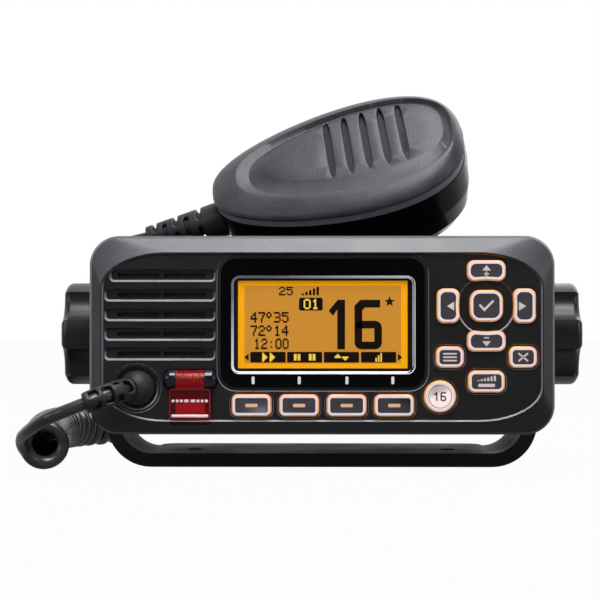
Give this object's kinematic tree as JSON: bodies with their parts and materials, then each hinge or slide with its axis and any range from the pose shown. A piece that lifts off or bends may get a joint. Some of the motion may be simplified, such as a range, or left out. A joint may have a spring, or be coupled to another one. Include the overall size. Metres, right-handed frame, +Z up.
{
  "type": "marine radio",
  "caption": "Compact fixed-mount marine VHF radio on a tilting U-bracket with clamping knobs, amber display, keypad, covered distress key and a hand microphone on a curly cord.",
  "frame": {"origin": "middle of the bracket's underside, straight below the tilt axis", "axes": "+X to the user's right along the tilt axis, -Y towards the user, +Z up"},
  "size_m": [0.206, 0.1502, 0.139],
  "materials": {
    "panel": "fine grain, satin",
    "gasket": "matt",
    "chassis": "black powder coat",
    "steel": "plain",
    "bezel": "gloss",
    "window": "clear",
    "lcd": "back-lit amber",
    "backlight": "milky",
    "board": "solder mask",
    "key_sheet": "silicone",
    "cone": "matt",
    "net": "fine net",
    "module": "moulded",
    "socket": "nickel plate",
    "contact": "plain",
    "cord_rubber": "semi-matt",
    "boot_rubber": "matt",
    "hinge": "gloss",
    "distress_cover": "see-through red",
    "distress_key": "satin",
    "bracket": "fine grain",
    "washer": "matt",
    "knob": "satin",
    "key": "satin with a lit rim",
    "pale_key": "satin",
    "mic_face": "fine grain",
    "mic_back": "gloss",
    "mic_strip": "satin",
    "ptt": "matt",
    "capsule": "plain"
  },
  "bodies": {
    "radio": {"front_panel": "panel", "panel_gasket": "gasket", "chassis": "chassis", "case_screws": "steel", "dome_switches": "steel", "shield_cover": "steel", "distress_spring": "steel", "speaker_frame": "steel", "display_bezel": "bezel", "display_window": "window", "lcd_module": "lcd", "backlight": "backlight", "front_board": "board", "main_board": "board", "key_sheet": "key_sheet", "speaker_cone": "cone", "speaker_net": "net", "power_module": "module", "antenna_socket": "socket", "antenna_contact": "contact", "cord_lead": "cord_rubber", "cord_coil": "cord_rubber", "cord_tail": "cord_rubber", "cord_bush": "boot_rubber", "cord_boot": "boot_rubber", "cable_grommets": "boot_rubber", "distress_hinge_pin": "hinge", "friction_washers": "washer"},
    "bracket": {"mounting_bracket": "bracket"},
    "knob_left": {"knob_left": "knob", "knob_left_stud": "steel"},
    "knob_right": {"knob_right": "knob", "knob_right_stud": "steel"},
    "distress_key": {"distress_key": "distress_key"},
    "distress_cover": {"distress_cover": "distress_cover"},
    "microphone": {"mic_front_shell": "mic_face", "mic_rear_shell": "mic_back", "mic_gasket": "mic_strip", "mic_capsule": "capsule", "mic_board": "board", "mic_cord_boot": "boot_rubber", "mic_hanger_stud": "steel", "mic_screws": "steel"},
    "ptt": {"ptt_button": "ptt"},
    "channel_16_key": {"channel_16_key": "pale_key"},
    "channel_down_key": {"channel_down_key": "key"},
    "channel_up_key": {"channel_up_key": "key"},
    "clear_key": {"clear_key": "key"},
    "enter_key": {"enter_key": "key"},
    "left_key": {"left_key": "key"},
    "menu_key": {"menu_key": "key"},
    "right_key": {"right_key": "key"},
    "soft_key_1": {"soft_key_1": "key"},
    "soft_key_2": {"soft_key_2": "key"},
    "soft_key_3": {"soft_key_3": "key"},
    "soft_key_4": {"soft_key_4": "key"},
    "volume_power_key": {"volume_power_key": "key"}
  },
  "joints": [
    {"name": "bracket_tilt", "type": "hinge", "parent": "radio", "child": "bracket", "pos_m": [0, 0, 0.047], "axis": [1, 0, 0], "range_deg": [-15, 15]},
    {"name": "knob_left_turn", "type": "hinge", "parent": "radio", "child": "knob_left", "pos_m": [-0.07635, 0, 0.047], "axis": [-1, 0, 0], "range_deg": [0, 180]},
    {"name": "knob_right_turn", "type": "hinge", "parent": "radio", "child": "knob_right", "pos_m": [0.07635, 0, 0.047], "axis": [1, 0, 0], "range_deg": [0, 180]},
    {"name": "distress_cover_lift", "type": "hinge", "parent": "radio", "child": "distress_cover", "pos_m": [-0.0442, -0.0472, 0.0323], "axis": [-1, 0, 0], "range_deg": [0, 100], "stiffness_Nm_per_rad": 0.004, "springref_deg": -22.92},
    {"name": "distress_key_press", "type": "slide", "parent": "radio", "child": "distress_key", "axis": [0, 1, 0], "range_m": [0, 0.0006], "stiffness_N_per_m": 1500, "springref_m": -0.0004},
    {"name": "microphone_lift", "type": "slide", "parent": "radio", "child": "microphone", "axis": [0, 0, 1], "range_m": [0, 0.12]},
    {"name": "ptt_press", "type": "slide", "parent": "microphone", "child": "ptt", "axis": [0.0967, -0.6999, -0.7077], "range_m": [0, 0.0016], "stiffness_N_per_m": 1200, "springref_m": -0.0006},
    {"name": "channel_16_key_press", "type": "slide", "parent": "radio", "child": "channel_16_key", "axis": [0, 1, 0], "range_m": [0, 0.0008], "stiffness_N_per_m": 1500, "springref_m": -0.0004},
    {"name": "channel_down_key_press", "type": "slide", "parent": "radio", "child": "channel_down_key", "axis": [0, 1, 0], "range_m": [0, 0.0008], "stiffness_N_per_m": 1500, "springref_m": -0.0004},
    {"name": "channel_up_key_press", "type": "slide", "parent": "radio", "child": "channel_up_key", "axis": [0, 1, 0], "range_m": [0, 0.0008], "stiffness_N_per_m": 1500, "springref_m": -0.0004},
    {"name": "clear_key_press", "type": "slide", "parent": "radio", "child": "clear_key", "axis": [0, 1, 0], "range_m": [0, 0.0008], "stiffness_N_per_m": 1500, "springref_m": -0.0004},
    {"name": "enter_key_press", "type": "slide", "parent": "radio", "child": "enter_key", "axis": [0, 1, 0], "range_m": [0, 0.0008], "stiffness_N_per_m": 1500, "springref_m": -0.0004},
    {"name": "left_key_press", "type": "slide", "parent": "radio", "child": "left_key", "axis": [0, 1, 0], "range_m": [0, 0.0008], "stiffness_N_per_m": 1500, "springref_m": -0.0004},
    {"name": "menu_key_press", "type": "slide", "parent": "radio", "child": "menu_key", "axis": [0, 1, 0], "range_m": [0, 0.0008], "stiffness_N_per_m": 1500, "springref_m": -0.0004},
    {"name": "right_key_press", "type": "slide", "parent": "radio", "child": "right_key", "axis": [0, 1, 0], "range_m": [0, 0.0008], "stiffness_N_per_m": 1500, "springref_m": -0.0004},
    {"name": "soft_key_1_press", "type": "slide", "parent": "radio", "child": "soft_key_1", "axis": [0, 1, 0], "range_m": [0, 0.0008], "stiffness_N_per_m": 1500, "springref_m": -0.0004},
    {"name": "soft_key_2_press", "type": "slide", "parent": "radio", "child": "soft_key_2", "axis": [0, 1, 0], "range_m": [0, 0.0008], "stiffness_N_per_m": 1500, "springref_m": -0.0004},
    {"name": "soft_key_3_press", "type": "slide", "parent": "radio", "child": "soft_key_3", "axis": [0, 1, 0], "range_m": [0, 0.0008], "stiffness_N_per_m": 1500, "springref_m": -0.0004},
    {"name": "soft_key_4_press", "type": "slide", "parent": "radio", "child": "soft_key_4", "axis": [0, 1, 0], "range_m": [0, 0.0008], "stiffness_N_per_m": 1500, "springref_m": -0.0004},
    {"name": "volume_power_key_press", "type": "slide", "parent": "radio", "child": "volume_power_key", "axis": [0, 1, 0], "range_m": [0, 0.0008], "stiffness_N_per_m": 1500, "springref_m": -0.0004}
  ]
}
